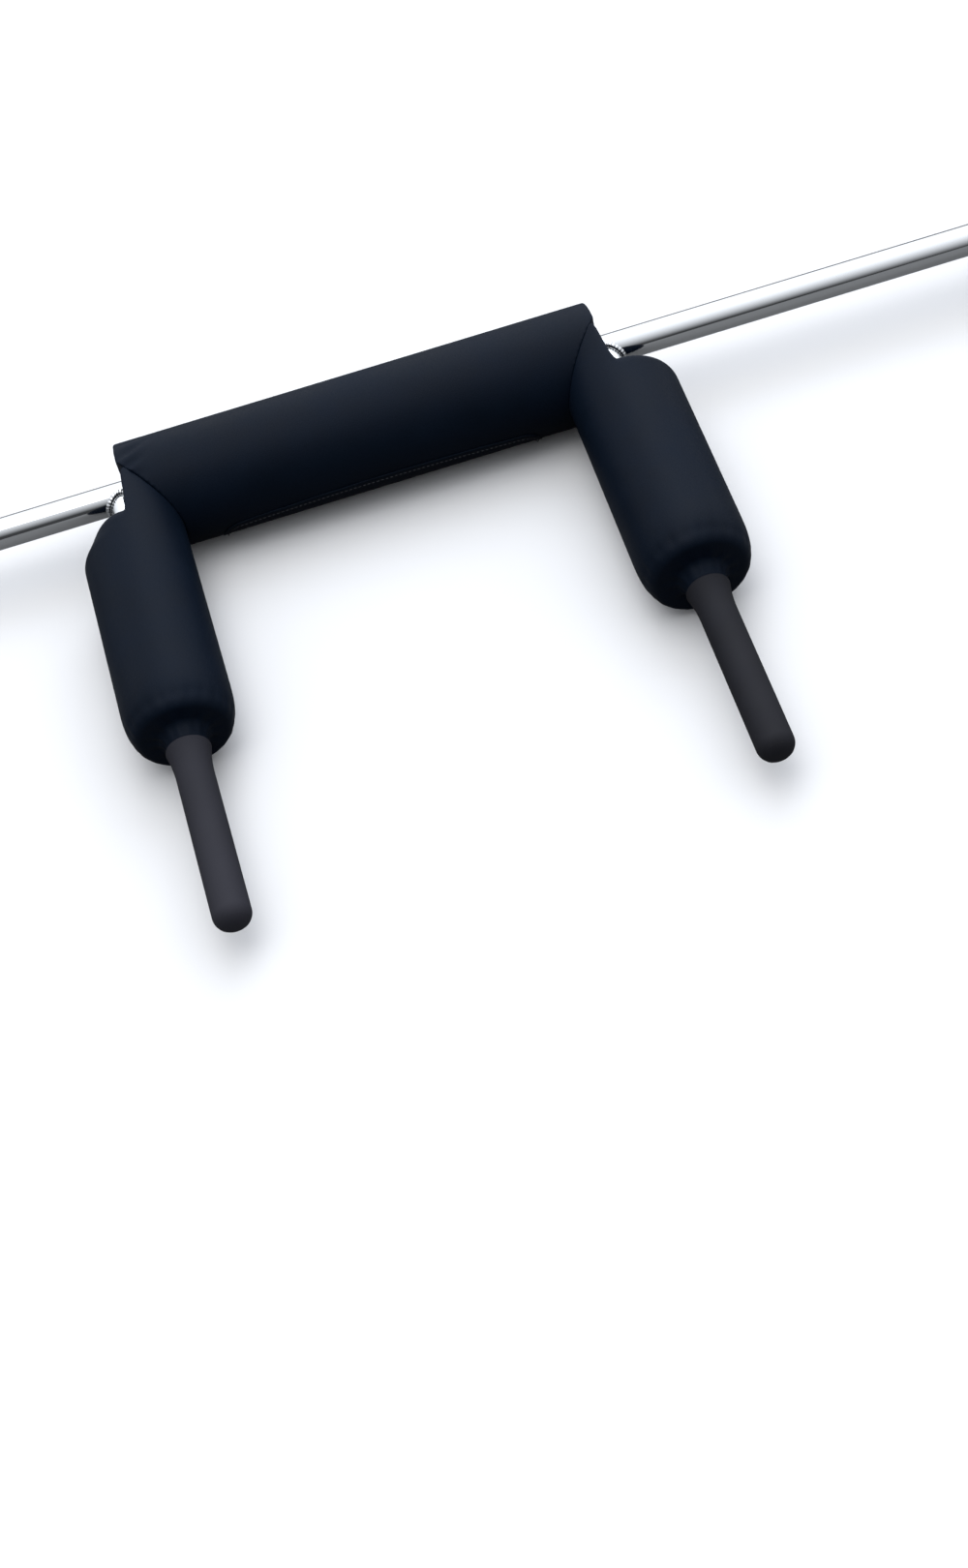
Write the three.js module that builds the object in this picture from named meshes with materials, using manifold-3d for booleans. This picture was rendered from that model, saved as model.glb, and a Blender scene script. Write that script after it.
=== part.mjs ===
// Safety squat bar: a straight loading bar with rotating plate sleeves, a padded neck roll
// and two padded arms that reach forward over the shoulders and end in rubber handles.
// Millimetres, +Z up. The bar runs along X, the arms point to -Y, and the whole object lies
// on the ground on its neck roll and on the far ends of its two shoulder pads.

import * as THREE from "three";
import { mergeVertices } from "three/addons/utils/BufferGeometryUtils.js";
import Module from "manifold-3d";

const wasm = await Module();
wasm.setup();

// Shaft and rotating sleeves
const shaftDiameter = 28;
const shaftLengthBetweenCollars = 1310;
const journalStep = 1.5; // the shaft is turned down by this much, radially, under each sleeve
const shaftEdge = 1;
const sleeveDiameter = 50;
const sleeveLoadLength = 415;
const sleeveEdge = 1;
const collarDiameter = 78;
const collarWidth = 30;
const collarEdge = 2;
const collarLipWidth = 4;
const collarLipClearance = 0.8;
const bushingWall = 5;
const bushingLength = 40;
const bushingFlangeWidth = 3;
const bushingFlangeInset = 2; // the flange stays this far inside the sleeve's outside
const washerWidth = 2;
const washerSeatDepth = 5; // how far the washers stand out from the journal
const snapRingWidth = 2;
const snapRingDepth = 2.6;
const snapRingGrooveDepth = 1.2;
const snapRingMouth = 24; // degrees left open
const shaftEndPastRing = 6;
const endCapWidth = 5;
const endCapRecess = 2;
const endCapRim = 3;
const endCapDish = 1.6;

// Arms and handles
const armSpacing = 454;
const armReach = 481.6; // from the shaft's axis to the tip of a handle
const armDiameter = 25;
const armToeIn = 0.71; // degrees that each arm leans towards the middle
const armWall = 2.5;
const weldLeg = 5;
const gripWall = 3.4;
const gripStart = 300; // from the shaft's axis
const gripFlare = 3.2;
const gripFlareLength = 28;
const gripTipDepth = 12;
const gripTipWall = 4.5;
const gripEdge = 1.5;

// Pads
const neckPadDiameter = 102.8;
const neckPadForward = 3.2; // the roll is set towards the arms and down from the shaft's axis
const neckPadDrop = 5.3;
const neckPadEndInset = 8; // the roll stops this far short of the arms' axes
const neckPadRim = 6;
const shoulderPadDiameter = 94.9;
const shoulderPadStart = 52; // from the shaft's axis
const shoulderPadEnd = 286;
const yokeSeamStart = 5; // from the shaft's axis, at the roll's end
const shoulderPadRim = 14;
const shoulderCuffDiameter = 34;
const coverWall = 1.5;
const flapEndGap = 29.5; // from the flap's ends to the shoulder pads
const flapWidth = 56;
const flapBow = 5; // how far the flap's free edge bows out at its middle
const flapCorner = 20;
const flapThickness = 2;
const flapMiddleAngle = 40; // degrees below the forward horizontal

// Clearances
const meshGap = 0.3; // between pieces that touch in real life
const pressGap = 0.05; // a pressed ring on its seat
const runningGap = 0.12; // a turning bushing on its journal

const roundSides = 32;
const padSides = 36;
const rimSteps = 3;
const flareSteps = 3;
const domeSteps = 4;

const shaftRadius = shaftDiameter / 2;
const journalRadius = shaftRadius - journalStep;
const bushingBore = journalRadius + runningGap;
const sleeveBore = bushingBore + bushingWall + pressGap;
const sleeveRadius = sleeveDiameter / 2;
const collarRadius = collarDiameter / 2;
const collarFace = shaftLengthBetweenCollars / 2;
const sleeveEnd = collarFace + collarWidth + sleeveLoadLength;
const armX = armSpacing / 2;
const armRadius = armDiameter / 2;
const toeIn = THREE.MathUtils.degToRad(armToeIn);
const armEnd = armReach - gripTipWall;
const gripRadius = armRadius + gripWall;
const neckPadRadius = neckPadDiameter / 2;
const shoulderPadRadius = shoulderPadDiameter / 2;
const neckPadHalf = armX - neckPadEndInset;

const finishes = {
  chrome: { color: 0xd9dce0, roughness: 0.12, metalness: 1 },
  steel: { color: 0x8f9296, roughness: 0.35, metalness: 1 },
  bronze: { color: 0x9c7440, roughness: 0.4, metalness: 1 },
  vinyl: { color: 0x141a24, roughness: 0.55, metalness: 0 },
  foam: { color: 0x3a3c40, roughness: 0.95, metalness: 0 },
  rubber: { color: 0x2a2a2e, roughness: 0.75, metalness: 0 },
  plastic: { color: 0x1b1c1e, roughness: 0.5, metalness: 0 },
};

const bar = new THREE.Group();

function addPiece(name, geometry, finish, parent = bar) {
  const mesh = new THREE.Mesh(geometry, new THREE.MeshStandardMaterial(finishes[finish]));
  mesh.name = name;
  parent.add(mesh);
  return mesh;
}

// A closed geometry as a manifold solid, and back.
function solidOf(geometry) {
  const bare = geometry.index ? geometry.toNonIndexed() : geometry.clone();
  bare.deleteAttribute("normal");
  bare.deleteAttribute("uv");
  const merged = mergeVertices(bare, 1e-3);
  return new wasm.Manifold(
    new wasm.Mesh({
      numProp: 3,
      vertProperties: merged.attributes.position.array,
      triVerts: new Uint32Array(merged.index.array),
    }),
  );
}

function geometryOf(solid) {
  const mesh = solid.getMesh();
  const geometry = new THREE.BufferGeometry();
  geometry.setAttribute("position", new THREE.BufferAttribute(mesh.vertProperties, 3));
  geometry.setIndex(new THREE.BufferAttribute(mesh.triVerts, 1));
  geometry.computeVertexNormals();
  return geometry;
}

// Turns an outline of [radius, distance] points about +Y. A ring's outline closes on itself.
function turned(outline, sides = roundSides) {
  const points = outline.map(([radius, distance]) => new THREE.Vector2(radius, distance));
  return new THREE.LatheGeometry(points, sides);
}

// The same, with distance measured along +X from the middle of the bar.
function turnedAlongBar(outline, sides = roundSides) {
  return turned(outline, sides).rotateZ(-Math.PI / 2);
}

// The same, with distance measured along an arm, from the shaft's axis towards the handle.
function turnedAlongArm(outline, side, sides = roundSides) {
  const rod = turned(outline, sides).rotateX(Math.PI);
  return rod.rotateZ(-side * toeIn).translate(side * armX, 0, 0);
}

// A ring between two radii and two distances, with its two outer edges broken.
function ringOutline(inner, outer, start, end, edge = 0) {
  const outline = [[inner, start]];
  if (edge > 0) {
    outline.push([outer - edge, start], [outer, start + edge]);
    outline.push([outer, end - edge], [outer - edge, end]);
  } else {
    outline.push([outer, start], [outer, end]);
  }
  outline.push([inner, end], [inner, start]);
  return outline;
}

// A solid round bar from the axis out, between two distances.
function rodOutline(radius, start, end) {
  return [
    [0, start],
    [radius, start],
    [radius, end],
    [0, end],
  ];
}

// Points of a quarter turn that starts at fromDegrees and ends at toDegrees.
function arcPoints(centreRadius, centreDistance, rim, fromDegrees, toDegrees) {
  const points = [];
  for (let step = 0; step <= rimSteps; step++) {
    const share = step / rimSteps;
    const angle = THREE.MathUtils.degToRad(fromDegrees + share * (toDegrees - fromDegrees));
    points.push([centreRadius + rim * Math.cos(angle), centreDistance + rim * Math.sin(angle)]);
  }
  return points;
}

function roundedRodOutline(radius, start, end, rim) {
  return [
    [0, start],
    ...arcPoints(radius - rim, start + rim, rim, -90, 0),
    ...arcPoints(radius - rim, end - rim, rim, 0, 90),
    [0, end],
  ];
}

// Shaft: one steel bar, turned down at both ends, with a groove for each snap ring.

const washerStart = collarFace + collarLipWidth + meshGap;
const flangeStart = washerStart + washerWidth + runningGap;
const sleeveStart = flangeStart + bushingFlangeWidth + pressGap;
const capOuterFace = sleeveEnd - endCapRecess;
const shaftTip = capOuterFace - endCapWidth - meshGap;
const ringStart = shaftTip - shaftEndPastRing - snapRingWidth;
const outerWasherStart = ringStart - washerWidth - runningGap;
const outerBushingStart = outerWasherStart - runningGap - bushingLength;
const grooveRadius = journalRadius - snapRingGrooveDepth;
const shoulder = washerStart - runningGap;

function shaftHalfOutline(side) {
  const grooveEnd = ringStart + snapRingWidth + pressGap;
  return [
    [shaftRadius, side * (shoulder - shaftEdge)],
    [shaftRadius - shaftEdge, side * shoulder],
    [journalRadius, side * shoulder],
    [journalRadius, side * (ringStart - pressGap)],
    [grooveRadius, side * (ringStart - pressGap)],
    [grooveRadius, side * grooveEnd],
    [journalRadius, side * grooveEnd],
    [journalRadius, side * (shaftTip - shaftEdge)],
    [journalRadius - shaftEdge, side * shaftTip],
    [0, side * shaftTip],
  ];
}

addPiece(
  "shaft",
  turnedAlongBar([...shaftHalfOutline(-1).reverse(), ...shaftHalfOutline(1)]),
  "chrome",
);

// Rotating sleeves: built once to the right of the middle, and turned round for the left.

const washerRadius = journalRadius + washerSeatDepth;
const flangeRadius = sleeveRadius - bushingFlangeInset;

function collarOutline() {
  const lipBore = shaftRadius + collarLipClearance;
  const bore = sleeveRadius + pressGap;
  const lipEnd = collarFace + collarLipWidth;
  const outerFace = collarFace + collarWidth;
  return [
    [lipBore, collarFace],
    [collarRadius - collarEdge, collarFace],
    [collarRadius, collarFace + collarEdge],
    [collarRadius, outerFace - collarEdge],
    [collarRadius - collarEdge, outerFace],
    [bore, outerFace],
    [bore, lipEnd],
    [lipBore, lipEnd],
    [lipBore, collarFace],
  ];
}

function innerBushingOutline() {
  const barrelEnd = sleeveStart + bushingLength;
  const barrelRadius = sleeveBore - pressGap;
  return [
    [bushingBore, flangeStart],
    [flangeRadius, flangeStart],
    [flangeRadius, flangeStart + bushingFlangeWidth],
    [barrelRadius, flangeStart + bushingFlangeWidth],
    [barrelRadius, barrelEnd],
    [bushingBore, barrelEnd],
    [bushingBore, flangeStart],
  ];
}

function endCapOutline() {
  const radius = sleeveBore - pressGap;
  const innerFace = capOuterFace - endCapWidth;
  return [
    [0, innerFace],
    [radius, innerFace],
    [radius, capOuterFace],
    [radius - endCapRim, capOuterFace],
    [radius - endCapRim - endCapDish, capOuterFace - endCapDish],
    [0, capOuterFace - endCapDish],
  ];
}

// A snap ring is an open ring: a full ring with a wedge taken out at its mouth.
function snapRing() {
  const inner = grooveRadius + pressGap;
  const ring = turned(ringOutline(inner, inner + snapRingDepth, 0, snapRingWidth));
  const reach = 2 * inner;
  const halfMouth = Math.tan(THREE.MathUtils.degToRad(snapRingMouth / 2)) * reach;
  const wedge = new THREE.Shape();
  wedge.moveTo(0, 0);
  wedge.lineTo(reach, -halfMouth);
  wedge.lineTo(reach, halfMouth);
  wedge.closePath();
  const cutter = new THREE.ExtrudeGeometry(wedge, { depth: 3 * snapRingWidth, bevelEnabled: false });
  cutter.rotateX(Math.PI / 2).translate(0, 2 * snapRingWidth, 0);
  return geometryOf(solidOf(ring).subtract(solidOf(cutter)))
    .rotateZ(-Math.PI / 2)
    .translate(ringStart, 0, 0);
}

function addSleeve(sideName, side) {
  const group = new THREE.Group();
  group.rotation.z = side > 0 ? 0 : Math.PI;
  bar.add(group);
  const addRing = (name, outline, finish) =>
    addPiece(sideName + name, turnedAlongBar(outline), finish, group);
  addRing(
    "_sleeve",
    ringOutline(sleeveBore, sleeveRadius, sleeveStart, sleeveEnd, sleeveEdge),
    "chrome",
  );
  addRing("_collar", collarOutline(), "chrome");
  addRing("_inner_bushing", innerBushingOutline(), "bronze");
  addRing(
    "_outer_bushing",
    ringOutline(bushingBore, sleeveBore - pressGap, outerBushingStart, outerBushingStart + bushingLength),
    "bronze",
  );
  addRing(
    "_inner_washer",
    ringOutline(bushingBore, washerRadius, washerStart, washerStart + washerWidth),
    "steel",
  );
  addRing(
    "_outer_washer",
    ringOutline(
      bushingBore,
      journalRadius + snapRingDepth,
      outerWasherStart,
      outerWasherStart + washerWidth,
    ),
    "steel",
  );
  addPiece(sideName + "_snap_ring", snapRing(), "steel", group);
  addRing("_end_cap", endCapOutline(), "plastic");
}

// Arms: tubes with fishmouth ends, welded square to the shaft, with a rubber grip on each.

function shaftCutter(growth) {
  return solidOf(turnedAlongBar(rodOutline(shaftRadius + growth, -armSpacing, armSpacing)));
}

function armCutter(side, growth, start, end) {
  return solidOf(turnedAlongArm(rodOutline(armRadius + growth, start, end), side));
}

const saddleStart = shaftRadius / 3; // inside the shaft, where a fishmouth cut begins
const weldEnd = shaftRadius + weldLeg;

function armTube(side) {
  const tube = turnedAlongArm(
    ringOutline(armRadius - armWall, armRadius, saddleStart, armEnd),
    side,
  );
  return geometryOf(solidOf(tube).subtract(shaftCutter(meshGap)));
}

// The bead follows the saddle: what lies within one leg of both the shaft and the tube.
function weldBead(side) {
  return geometryOf(
    armCutter(side, weldLeg, saddleStart, 2 * shaftDiameter)
      .intersect(shaftCutter(weldLeg))
      .subtract(shaftCutter(meshGap))
      .subtract(armCutter(side, meshGap, 0, 3 * shaftDiameter)),
  );
}

function gripOutline() {
  const bore = armRadius + pressGap;
  const flareRadius = gripRadius + gripFlare;
  const domeStart = armReach - gripTipDepth;
  const outline = [
    [0, armEnd + meshGap],
    [bore, armEnd + meshGap],
    [bore, gripStart],
    [flareRadius - gripEdge, gripStart],
    [flareRadius, gripStart + gripEdge],
  ];
  for (let step = 1; step <= flareSteps; step++) {
    const share = step / flareSteps;
    const ease = (1 - share) ** 2;
    outline.push([gripRadius + gripFlare * ease, gripStart + gripEdge + share * gripFlareLength]);
  }
  for (let step = 0; step < domeSteps; step++) {
    const angle = (step / domeSteps) * (Math.PI / 2);
    const distance = domeStart + gripTipDepth * Math.sin(angle);
    outline.push([gripRadius * Math.cos(angle), distance]);
  }
  outline.push([0, armReach]);
  return outline;
}

// Pads: a foam core in a sewn vinyl cover. The roll and each shoulder pad meet on a mitre
// plane from the roll's end to the corner of the open yoke, so their tops run into each
// other. Outside the roll's end the shoulder pad stops short and shows the shaft and weld.

function mitre(side) {
  const outer = new THREE.Vector2(neckPadHalf, -yokeSeamStart);
  const inner = new THREE.Vector2(armX - shoulderPadRadius, -neckPadRadius - neckPadForward);
  const along = inner.clone().sub(outer).normalize();
  const towardsRoll = new THREE.Vector2(along.y, -along.x);
  return { side, outer, towardsRoll };
}

// A block that covers everything on the shoulder pad's side of the mitre plane, or on the
// roll's side, moved by inset away from the piece that it cuts.
function mitreBlock(side, coversRoll, inset) {
  const plane = mitre(side);
  const sense = coversRoll ? 1 : -1;
  const size = 2 * armReach;
  const block = new THREE.BoxGeometry(size, size, size);
  block.translate(size / 2 - inset, 0, 0);
  block.rotateZ(Math.atan2(sense * plane.towardsRoll.y, sense * plane.towardsRoll.x));
  block.translate(plane.outer.x, plane.outer.y, 0);
  if (side < 0) {
    block.rotateY(Math.PI);
  }
  return solidOf(block);
}

// The roll's outside, or the same shape drawn in by inset.
function neckPadSolid(inset) {
  const outline = roundedRodOutline(
    neckPadRadius - inset,
    -neckPadHalf + inset,
    neckPadHalf - inset,
    neckPadRim,
  );
  const roll = turnedAlongBar(outline, padSides).translate(0, -neckPadForward, -neckPadDrop);
  let solid = solidOf(roll);
  for (const side of [-1, 1]) {
    solid = solid
      .subtract(armCutter(side, weldLeg + meshGap + inset, -saddleStart, neckPadDiameter))
      .subtract(mitreBlock(side, false, inset + meshGap / 2));
  }
  return solid;
}

function shoulderPadSolid(side, inset) {
  const outline = roundedRodOutline(
    shoulderPadRadius - inset,
    shoulderPadStart + inset,
    shoulderPadEnd - inset,
    shoulderPadRim - inset,
  );
  const pad = solidOf(turnedAlongArm(outline, side, padSides));
  return pad
    .add(shoulderTongue(side, inset))
    .subtract(mitreBlock(side, true, inset + meshGap / 2))
    .subtract(shaftCutter(meshGap + inset))
    .subtract(armCutter(side, weldLeg + meshGap + inset, 0, weldEnd + meshGap + inset));
}

// The part of a shoulder pad that runs back beside the shaft to the mitre.
function shoulderTongue(side, inset) {
  const back = shoulderPadRadius - inset;
  const outline = rodOutline(back, -shoulderPadRadius, shoulderPadStart + shoulderPadRim);
  const size = 2 * armReach;
  const outside = new THREE.BoxGeometry(size, size, size);
  outside.translate(side * (neckPadHalf - inset + size / 2), 0, 0);
  return solidOf(turnedAlongArm(outline, side, padSides)).subtract(solidOf(outside));
}

const foamInset = coverWall + meshGap;

function neckCover() {
  return geometryOf(neckPadSolid(0).subtract(neckPadSolid(coverWall)).subtract(shaftCutter(meshGap)));
}

function neckFoam() {
  return geometryOf(neckPadSolid(foamInset).subtract(shaftCutter(meshGap)));
}

// The shoulder cover is drawn into a cuff that closes on the arm against the grip.
function shoulderCover(side) {
  const cuffEnd = gripStart - meshGap;
  const cuffRadius = shoulderCuffDiameter / 2;
  const cuff = rodOutline(cuffRadius, shoulderPadEnd - shoulderPadRim, cuffEnd);
  return geometryOf(
    shoulderPadSolid(side, 0)
      .add(solidOf(turnedAlongArm(cuff, side, padSides)))
      .subtract(shoulderPadSolid(side, coverWall))
      .subtract(armCutter(side, meshGap, 0, armReach)),
  );
}

function shoulderFoam(side) {
  return geometryOf(shoulderPadSolid(side, foamInset).subtract(armCutter(side, meshGap, 0, armReach)));
}

// The flap that closes the roll's lengthwise slit: a curved strip with rounded corners and a
// bowed free edge, wrapped on the roll's lower front.
function neckFlap() {
  const half = armX - shoulderPadRadius - flapEndGap;
  const low = -flapWidth / 2;
  const high = flapWidth / 2 - flapBow;
  const outline = new THREE.Shape();
  outline.moveTo(-half, low);
  outline.lineTo(half, low);
  outline.lineTo(half, high - flapCorner);
  outline.quadraticCurveTo(half, high, half - flapCorner, high);
  outline.quadraticCurveTo(0, high + 2 * flapBow, flapCorner - half, high);
  outline.quadraticCurveTo(-half, high, -half, high - flapCorner);
  outline.closePath();
  const punch = new THREE.ExtrudeGeometry(outline, {
    depth: neckPadRadius,
    bevelEnabled: false,
    curveSegments: 8,
  });
  punch.translate(0, 0, neckPadRadius / 2);
  punch.rotateX(Math.PI / 2 + THREE.MathUtils.degToRad(flapMiddleAngle));
  const skinRadius = neckPadRadius + meshGap;
  const skin = turnedAlongBar(
    ringOutline(skinRadius, skinRadius + flapThickness, -neckPadHalf, neckPadHalf),
    padSides,
  );
  const flap = solidOf(skin).intersect(solidOf(punch));
  return geometryOf(flap).translate(0, -neckPadForward, -neckPadDrop);
}

addPiece("neck_foam", neckFoam(), "foam");
addPiece("neck_cover", neckCover(), "vinyl");
addPiece("neck_flap", neckFlap(), "vinyl");

for (const [sideName, side] of [
  ["left", -1],
  ["right", 1],
]) {
  addPiece(sideName + "_arm", armTube(side), "steel");
  addPiece(sideName + "_weld", weldBead(side), "steel");
  addPiece(sideName + "_shoulder_foam", shoulderFoam(side), "foam");
  addPiece(sideName + "_shoulder_cover", shoulderCover(side), "vinyl");
  addPiece(sideName + "_grip", turnedAlongArm(gripOutline(), side), "rubber");
  addSleeve(sideName, side);
}

// The object lies on its pads: the ground touches the roll's round and the far end of each
// shoulder pad's straight length, so the arms slope down a little.
function restTilt() {
  const forward = shoulderPadEnd - shoulderPadRim - neckPadForward;
  const lift = shoulderPadRadius - neckPadDrop;
  return Math.asin(neckPadRadius / Math.hypot(forward, lift)) - Math.atan2(lift, forward);
}

bar.rotation.x = restTilt();
bar.updateMatrixWorld(true);
const bounds = new THREE.Box3().setFromObject(bar, true);
bar.position.y = -(bounds.min.y + bounds.max.y) / 2;
bar.position.z = -bounds.min.z;

const group = new THREE.Group();
group.add(bar);

export default group;
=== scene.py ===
import math
import bmesh
import bpy
from mathutils import Matrix, Vector, noise
from mathutils.bvhtree import BVHTree


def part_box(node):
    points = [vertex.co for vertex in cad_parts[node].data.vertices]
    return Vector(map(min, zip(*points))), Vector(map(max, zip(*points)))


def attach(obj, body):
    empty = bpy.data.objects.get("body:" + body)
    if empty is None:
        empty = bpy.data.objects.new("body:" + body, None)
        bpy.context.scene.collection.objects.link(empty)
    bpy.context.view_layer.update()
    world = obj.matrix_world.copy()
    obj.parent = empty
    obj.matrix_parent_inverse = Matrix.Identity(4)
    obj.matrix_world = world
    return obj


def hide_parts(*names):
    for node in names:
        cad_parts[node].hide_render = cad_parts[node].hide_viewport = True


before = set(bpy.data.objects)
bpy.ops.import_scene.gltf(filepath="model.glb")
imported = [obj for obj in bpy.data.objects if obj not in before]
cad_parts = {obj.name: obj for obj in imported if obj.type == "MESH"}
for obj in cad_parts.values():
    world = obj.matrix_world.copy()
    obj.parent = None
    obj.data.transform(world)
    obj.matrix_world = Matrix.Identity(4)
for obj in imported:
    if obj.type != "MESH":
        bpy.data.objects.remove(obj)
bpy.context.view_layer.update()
print("frame loaded with", len(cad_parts), "nodes")

mm = 0.001
floorGap = 0.1 * mm
scene = bpy.context.scene


# Where things are: everything hangs from the bar's axis and from the slope of the arms.

def middleOf(node):
    low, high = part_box(node)
    return (low + high) / 2


barAxis = Vector((0, middleOf("shaft").y, middleOf("shaft").z))
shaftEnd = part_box("shaft")[1].x / mm
armRadius = 12.5
armX = 227
toeIn = math.radians(0.71)  # each arm leans towards the middle
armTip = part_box("right_arm")[0] + Vector((0, 0, armRadius * mm))
slope = math.atan2(barAxis.z - armTip.z, barAxis.y - armTip.y)
barPlace = Matrix.Translation(barAxis) @ Matrix.Rotation(slope, 4, "X")
rollCentre = barPlace.inverted() @ Vector((0, middleOf("neck_cover").y, middleOf("neck_cover").z))
sides = {"left": -1, "right": 1}


def armPlace(side):  # local +X runs along the arm to the handle, local +Y is the world's +X
    turn = Matrix.Rotation(-math.pi / 2 - side * toeIn, 4, "Z")
    return barPlace @ Matrix.Translation((side * armX * mm, 0, 0)) @ turn


rollPlace = barPlace @ Matrix.Translation(rollCentre)


def lookingFrom(place, aim):
    looks = (Vector(aim) - Vector(place)).to_track_quat("-Z", "Y").to_matrix().to_4x4()
    return Matrix.Translation(place) @ looks


# Camera, before everything else.

cameraSettings = {
    "place": (-0.0789, -1.2888, 1.4323),
    "aim": (-0.0049, -0.2167, 0.0568),
    "roll": -14.2,  # degrees
    "lens": 51.35,
}


def addCamera(settings):
    data = bpy.data.cameras.new("camera")
    data.lens = settings["lens"]
    data.clip_start = 0.05
    data.clip_end = 60
    camera = bpy.data.objects.new("camera", data)
    scene.collection.objects.link(camera)
    turn = Matrix.Rotation(math.radians(settings["roll"]), 4, "Z")
    camera.matrix_world = lookingFrom(settings["place"], settings["aim"]) @ turn
    scene.camera = camera


addCamera(cameraSettings)


# Nodes and colours

def linear(hexColour):
    shares = [int(hexColour[i:i + 2], 16) / 255 for i in (1, 3, 5)]
    return [s / 12.92 if s <= 0.04045 else ((s + 0.055) / 1.055) ** 2.4 for s in shares] + [1]


def addNode(tree, kind, links=None, values=None, **settings):
    node = tree.nodes.new(kind)
    for name, value in settings.items():
        setattr(node, name, value)
    for name, value in (values or {}).items():
        node.inputs[name].default_value = value
    for name, socket in (links or {}).items():
        tree.links.new(socket, node.inputs[name])
    return node


def newMaterial(name):
    material = bpy.data.materials.new(name)
    material.use_nodes = True
    tree = material.node_tree
    tree.nodes.clear()
    shader = addNode(tree, "ShaderNodeBsdfPrincipled")
    addNode(tree, "ShaderNodeOutputMaterial", {"Surface": shader.outputs["BSDF"]})
    where = addNode(tree, "ShaderNodeTexCoord").outputs["Object"]
    return material, tree, shader, where


def addRamp(tree, source, stops):
    ramp = addNode(tree, "ShaderNodeValToRGB", {"Fac": source})
    while len(ramp.color_ramp.elements) < len(stops):
        ramp.color_ramp.elements.new(0.5)
    for element, (place, colour) in zip(ramp.color_ramp.elements, stops):
        element.position = place
        element.color = linear(colour)
    return ramp.outputs["Color"]


def addMix(tree, share, first, secondColour):
    node = addNode(
        tree, "ShaderNodeMix", {0: share, 6: first}, {7: linear(secondColour)}, data_type="RGBA",
    )
    return node.outputs[2]


def addRange(tree, source, low, high, fromLow=0.0, fromHigh=1.0):
    node = addNode(
        tree, "ShaderNodeMapRange", {"Value": source},
        {"From Min": fromLow, "From Max": fromHigh, "To Min": low, "To Max": high},
    )
    return node.outputs["Result"]


def addBump(tree, shader, height, strength, distance):  # distance in metres
    bump = addNode(
        tree, "ShaderNodeBump", {"Height": height}, {"Strength": strength, "Distance": distance},
    )
    tree.links.new(bump.outputs["Normal"], shader.inputs["Normal"])


# Studio: a pale floor, a soft dome that is brighter behind and above, and soft boxes.

studio = {
    "floorSize": 40,
    "floorColour": "#d2d2d2",
    "floorBounce": "#6e6e6e",  # what the floor gives back to the pads and the chrome
    "domeTowards": (0.20, 0.62, 0.76),
    "domeDark": 0.07,
    "domeBright": 1.9,
    "domeColour": "#f6f9ff",
    "backdrop": "#fbfbfb",
}
softBoxes = [
    {"name": "keyBox", "place": (0.9, 2.2, 2.6), "size": (2.6, 1.6), "power": 40, "tint": "#eaf2ff"},
    {"name": "topBox", "place": (-0.4, 0.2, 3.2), "size": (3.0, 2.0), "power": 40, "tint": "#ffffff"},
]


def addFloor(settings):
    bm = bmesh.new()
    bmesh.ops.create_grid(bm, x_segments=1, y_segments=1, size=settings["floorSize"] / 2)
    mesh = bpy.data.meshes.new("floor")
    bm.to_mesh(mesh)
    bm.free()
    floor = bpy.data.objects.new("floor", mesh)
    scene.collection.objects.link(floor)
    material, tree, shader, _ = newMaterial("paintedFloor")
    seen = addNode(tree, "ShaderNodeLightPath").outputs["Is Camera Ray"]
    bounce = addNode(tree, "ShaderNodeRGB").outputs["Color"]
    bounce.default_value = linear(settings["floorBounce"])
    tree.links.new(addMix(tree, seen, bounce, settings["floorColour"]), shader.inputs["Base Color"])
    shader.inputs["Roughness"].default_value = 0.9
    shader.inputs["Specular IOR Level"].default_value = 0.1
    mesh.materials.append(material)


def addDome(settings):
    world = bpy.data.worlds.new("studio")
    scene.world = world
    world.use_nodes = True
    tree = world.node_tree
    tree.nodes.clear()
    direction = addNode(tree, "ShaderNodeTexCoord").outputs["Generated"]
    towards = addNode(
        tree, "ShaderNodeVectorMath", {0: direction}, {1: Vector(settings["domeTowards"]).normalized()},
        operation="DOT_PRODUCT",
    ).outputs["Value"]
    strength = addRange(tree, towards, settings["domeDark"], settings["domeBright"], -0.4, 0.9)
    domeColour, backdrop = linear(settings["domeColour"]), linear(settings["backdrop"])
    dome = addNode(tree, "ShaderNodeBackground", {"Strength": strength}, {"Color": domeColour})
    plain = addNode(tree, "ShaderNodeBackground", values={"Color": backdrop})
    seen = addNode(tree, "ShaderNodeLightPath").outputs["Is Camera Ray"]
    both = addNode(
        tree, "ShaderNodeMixShader",
        {"Fac": seen, 1: dome.outputs["Background"], 2: plain.outputs["Background"]},
    )
    addNode(tree, "ShaderNodeOutputWorld", {"Surface": both.outputs["Shader"]})


def addSoftBox(box):
    data = bpy.data.lights.new(box["name"], "AREA")
    data.shape = "RECTANGLE"
    data.size, data.size_y = box["size"]
    data.energy = box["power"]
    data.color = linear(box["tint"])[:3]
    light = bpy.data.objects.new(box["name"], data)
    scene.collection.objects.link(light)
    light.matrix_world = lookingFrom(box["place"], (0, 0, 0))


scene.view_settings.view_transform = "Standard"
addFloor(studio)
addDome(studio)
for box in softBoxes:
    addSoftBox(box)
print("studio ready")


# Materials

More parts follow.
